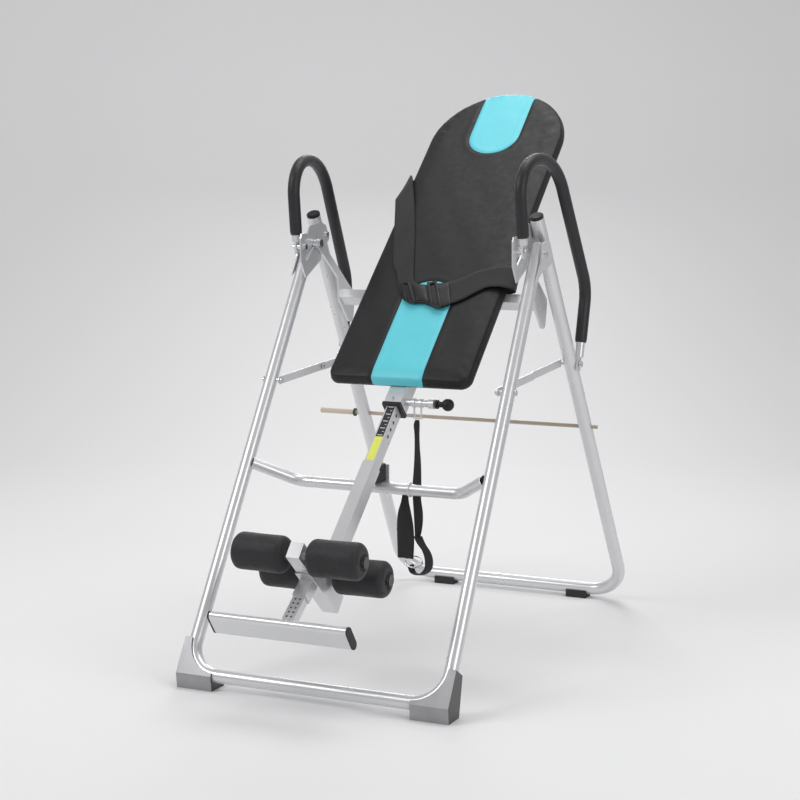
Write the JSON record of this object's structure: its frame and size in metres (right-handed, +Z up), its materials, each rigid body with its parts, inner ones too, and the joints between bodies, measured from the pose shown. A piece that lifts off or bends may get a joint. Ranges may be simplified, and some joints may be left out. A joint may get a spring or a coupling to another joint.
{
  "type": "inversion table",
  "caption": "Folding inversion table: padded bed on pivot pins in an A-frame, sliding boom with foam ankle rollers, curved side handles, tether strap and tilt-limit rod.",
  "frame": {"origin": "point on the floor on the left-right symmetry plane, below the table's pivot pins and 50 mm behind them", "axes": "+X to the user's left-hand side seen from the foot end (right in the picture), -Y towards the foot end, +Z up"},
  "size_m": [0.7948, 1.389, 1.3831],
  "materials": {
    "silver_frame": "satin silver paint",
    "bright_metal": "bright zinc",
    "black_hardware": "black",
    "black_plastic": "matt",
    "grey_plastic": "matt",
    "black_rubber": "matt",
    "grip_foam": "fine foam",
    "roller_foam": "soft foam with a grained skin",
    "pad_vinyl": "black vinyl over foam, leather grain",
    "cyan_vinyl": "turquoise vinyl",
    "board_wood": "black painted board",
    "webbing": "woven strap",
    "label_yellow": "plain, no text",
    "rod_tan": "dull tan",
    "sleeve_beige": "pale"
  },
  "bodies": {
    "rear_frame": {"rear_u_tube": "silver_frame", "rear_leg_caps": "black_plastic", "rear_floor_pads": "black_rubber", "hook_plates": "silver_frame", "gusset_plates": "silver_frame", "hook_spacers": "silver_frame", "handle_tubes": "silver_frame", "handle_grips": "grip_foam", "handle_bolts": "bright_metal"},
    "front_frame": {"front_u_tube": "silver_frame", "front_crossbar": "silver_frame", "front_feet": "grey_plastic", "boom_bumper": "black_rubber", "bumper_bracket": "silver_frame", "fold_bolts": "bright_metal", "strap_ring": "silver_frame", "tether_strap": "webbing", "brace_rivets": "bright_metal"},
    "bed": {"bed_foam": "pad_vinyl", "bed_board": "board_wood", "seat_stripe_panel": "cyan_vinyl", "head_panel": "cyan_vinyl", "bed_screws": "bright_metal", "cross_tube": "silver_frame", "bed_sleeve": "silver_frame", "spine_bracket": "silver_frame", "pivot_arms": "silver_frame", "pivot_pins": "bright_metal", "sleeve_guide": "black_plastic", "selector_housing": "silver_frame", "strap_hook": "silver_frame", "lap_belt": "webbing", "belt_buckle": "black_plastic"},
    "boom": {"boom_tube": "silver_frame", "height_scale": "black_plastic", "scale_label": "label_yellow", "boom_lower_tube": "silver_frame", "boom_rim": "silver_frame", "ankle_sleeve": "silver_frame", "rear_axle": "bright_metal", "rear_axle_caps": "black_hardware", "foot_bar_socket": "silver_frame"},
    "roller_carrier": {"slider_arm": "silver_frame", "front_axle": "bright_metal", "front_axle_caps": "black_hardware"},
    "foot_bar_slide": {"foot_bar_stem": "silver_frame", "foot_bar": "silver_frame", "foot_bar_caps": "black_plastic"},
    "front_left_roller": {"front_left_roller": "roller_foam"},
    "front_right_roller": {"front_right_roller": "roller_foam"},
    "rear_left_roller": {"rear_left_roller": "roller_foam"},
    "rear_right_roller": {"rear_right_roller": "roller_foam"},
    "selector_pin": {"selector_pin": "bright_metal", "selector_ball": "black_plastic"},
    "ankle_pin": {"ankle_pull_pin": "black_plastic"},
    "limiter_rod": {"limiter_rod": "rod_tan", "limiter_sleeve": "sleeve_beige", "limiter_clip": "black_hardware"},
    "front_braces": {"brace_front_links": "silver_frame"},
    "rear_braces": {"brace_rear_links": "silver_frame"}
  },
  "joints": [
    {"name": "table_tilt", "type": "hinge", "parent": "rear_frame", "child": "bed", "pos_m": [0, -0.05, 0.9925], "axis": [-1, 0, 0], "range_deg": [0, 77.5]},
    {"name": "frame_fold", "type": "hinge", "parent": "rear_frame", "child": "front_frame", "pos_m": [0, -0.03, 0.975], "axis": [1, 0, 0], "range_deg": [0, 54], "deforming": ["tether_strap"]},
    {"name": "front_brace_fold", "type": "hinge", "parent": "front_frame", "child": "front_braces", "pos_m": [0, -0.2186, 0.6663], "axis": [1, 0, 0], "range_deg": [0, 34.11]},
    {"name": "rear_brace_fold", "type": "hinge", "parent": "rear_frame", "child": "rear_braces", "pos_m": [0, 0.206, 0.692], "axis": [-1, 0, 0], "range_deg": [0, 62.63]},
    {"name": "height_slide", "type": "slide", "parent": "bed", "child": "boom", "axis": [0, 0.7314, 0.682], "range_m": [-0.1, 0.16]},
    {"name": "front_roller_slide", "type": "slide", "parent": "boom", "child": "roller_carrier", "axis": [0, -0.749, 0.6626], "range_m": [-0.03, 0.04]},
    {"name": "foot_bar_height", "type": "slide", "parent": "boom", "child": "foot_bar_slide", "axis": [0, -0.809, -0.5878], "range_m": [0, 0.025]},
    {"name": "front_left_roller_spin", "type": "hinge", "parent": "roller_carrier", "child": "front_left_roller", "pos_m": [0, -0.65794, 0.34284], "axis": [1, 0, 0], "continuous": true},
    {"name": "front_right_roller_spin", "type": "hinge", "parent": "roller_carrier", "child": "front_right_roller", "pos_m": [0, -0.65794, 0.34284], "axis": [1, 0, 0], "continuous": true},
    {"name": "rear_left_roller_spin", "type": "hinge", "parent": "boom", "child": "rear_left_roller", "pos_m": [0, -0.53295, 0.27808], "axis": [1, 0, 0], "continuous": true},
    {"name": "rear_right_roller_spin", "type": "hinge", "parent": "boom", "child": "rear_right_roller", "pos_m": [0, -0.53295, 0.27808], "axis": [1, 0, 0], "continuous": true},
    {"name": "selector_pull", "type": "slide", "parent": "bed", "child": "selector_pin", "axis": [1, 0, 0], "range_m": [0, 0.01], "stiffness_N_per_m": 800},
    {"name": "ankle_pin_pull", "type": "slide", "parent": "boom", "child": "ankle_pin", "axis": [0, 0.6626, 0.749], "range_m": [0, 0.01], "stiffness_N_per_m": 800},
    {"name": "limiter_rod_draw", "type": "slide", "parent": "rear_frame", "child": "limiter_rod", "axis": [-1, 0, 0], "range_m": [0, 0.66]}
  ],
  "couplings": [
    {"joint": "front_brace_fold", "follows": "frame_fold", "ratio": 0.63166},
    {"joint": "rear_brace_fold", "follows": "frame_fold", "ratio": 1.1598}
  ]
}
